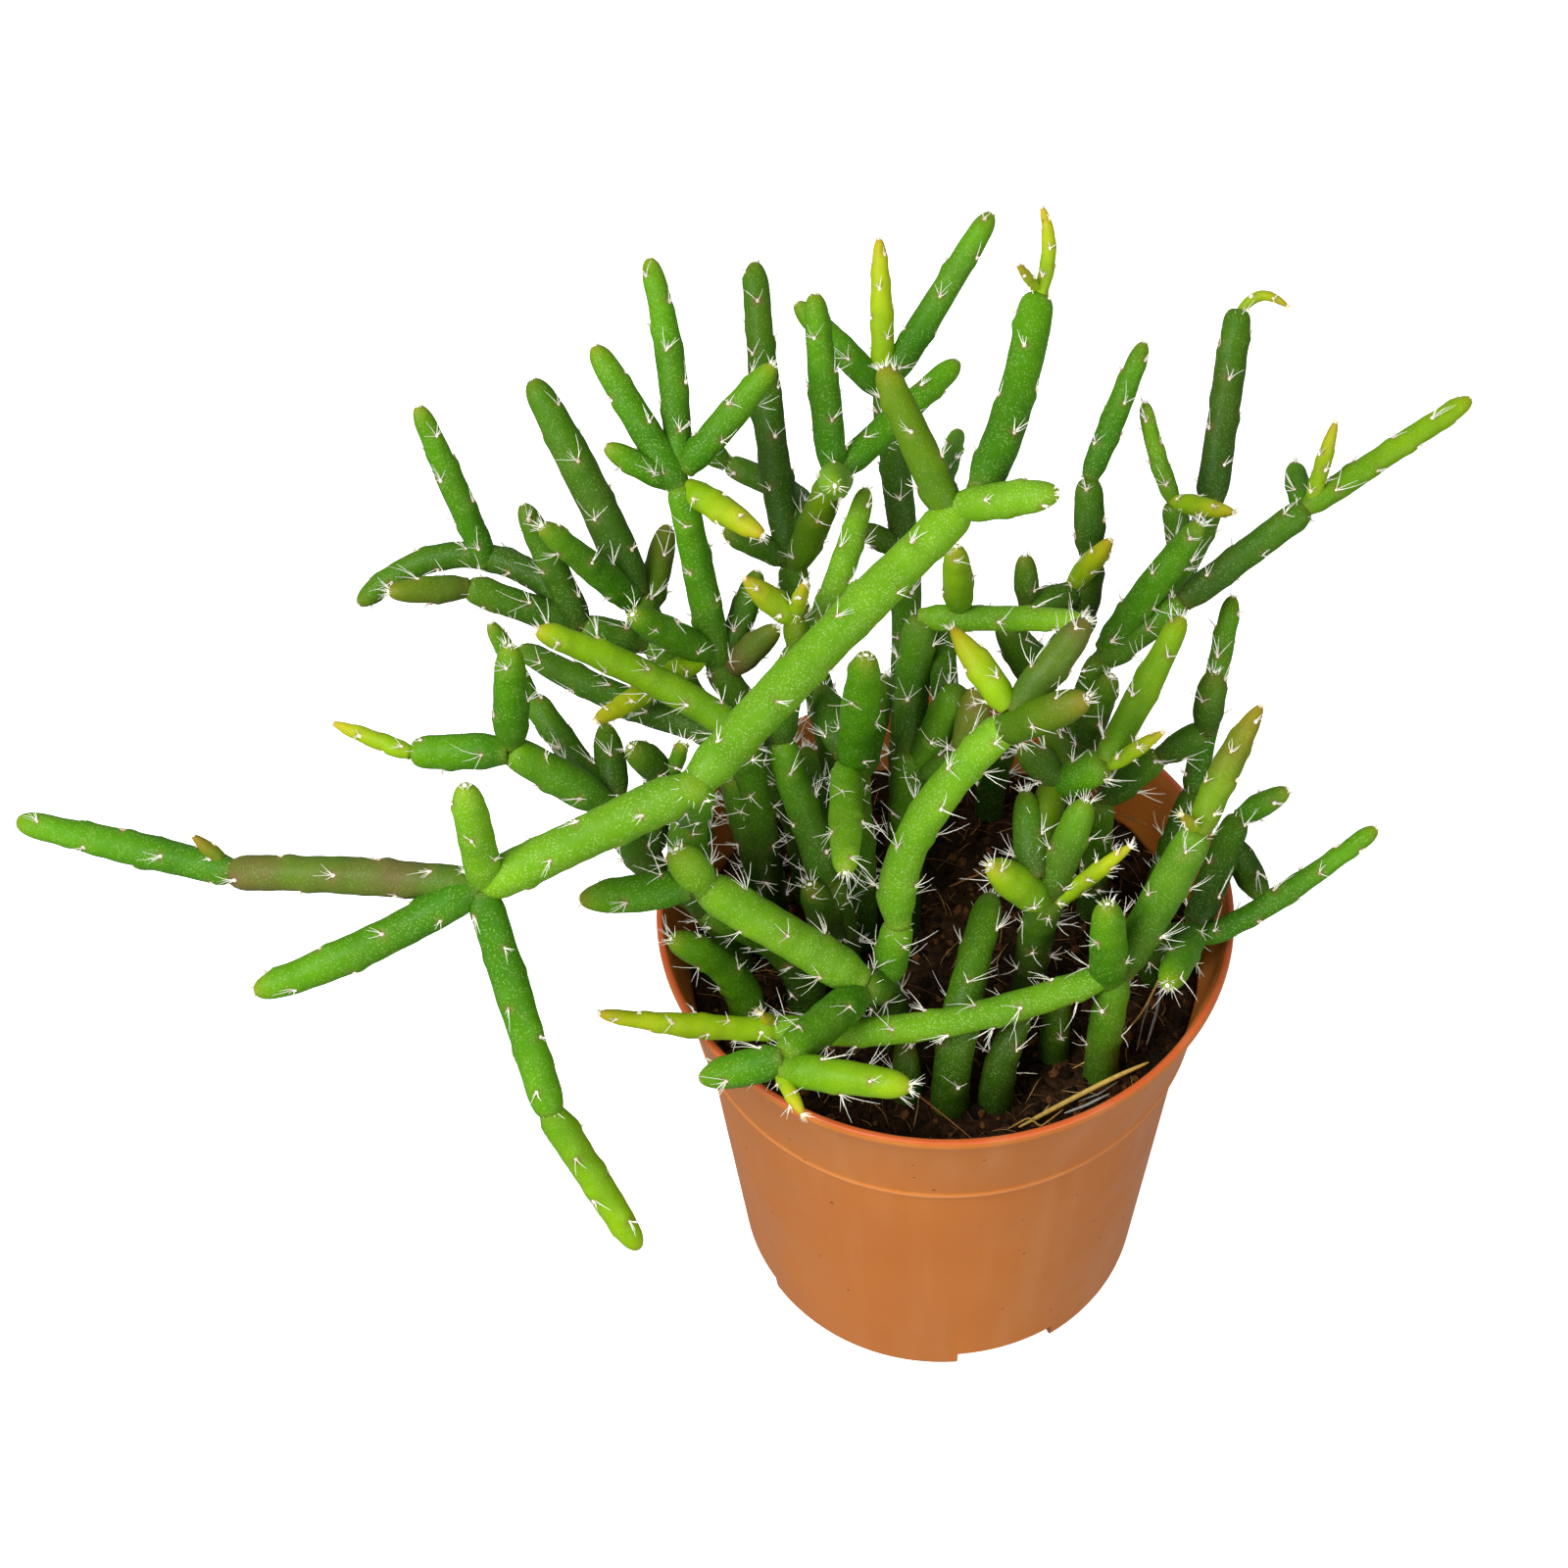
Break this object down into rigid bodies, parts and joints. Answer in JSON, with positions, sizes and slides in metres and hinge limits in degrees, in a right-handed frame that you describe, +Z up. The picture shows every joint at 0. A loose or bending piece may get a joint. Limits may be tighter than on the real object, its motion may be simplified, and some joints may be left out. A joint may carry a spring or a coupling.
{
  "type": "potted mistletoe cactus",
  "caption": "Leafless bushy cactus with slender jointed green stems and pale bristles, rooted in soil in a thin-walled round plastic nursery pot with a flared collar.",
  "frame": {"origin": "centre of the pot's foot, on the surface that it stands on", "axes": "+Z up, out of the pot's mouth; the side seen in the picture faces -Y; +X to the picture's right"},
  "size_m": [0.2225, 0.1382, 0.1889],
  "materials": {
    "pot": "thin moulded plastic, terracotta colour, satin",
    "soil": "damp peat with coir fibres",
    "stem": "waxy green skin with pale bristles"
  },
  "bodies": {
    "root": {"pot": "pot", "soil": "soil", "stem_left_arm": "stem", "stem_front": "stem", "stem_front_right": "stem", "stem_right_low": "stem", "stem_right_mid": "stem", "stem_right_back": "stem", "stem_right_tall": "stem", "stem_back_right": "stem", "stem_back_inner": "stem", "stem_mid": "stem", "stem_centre_right": "stem", "stem_centre_left": "stem", "stem_centre": "stem", "stem_top_centre": "stem", "stem_top_right": "stem", "stem_left_back": "stem", "stem_left_mid": "stem", "stem_left_upper": "stem", "stem_left_low": "stem", "stem_left_short": "stem", "stem_front_short_a": "stem", "stem_front_short_b": "stem", "stem_front_short_c": "stem"}
  },
  "joints": []
}
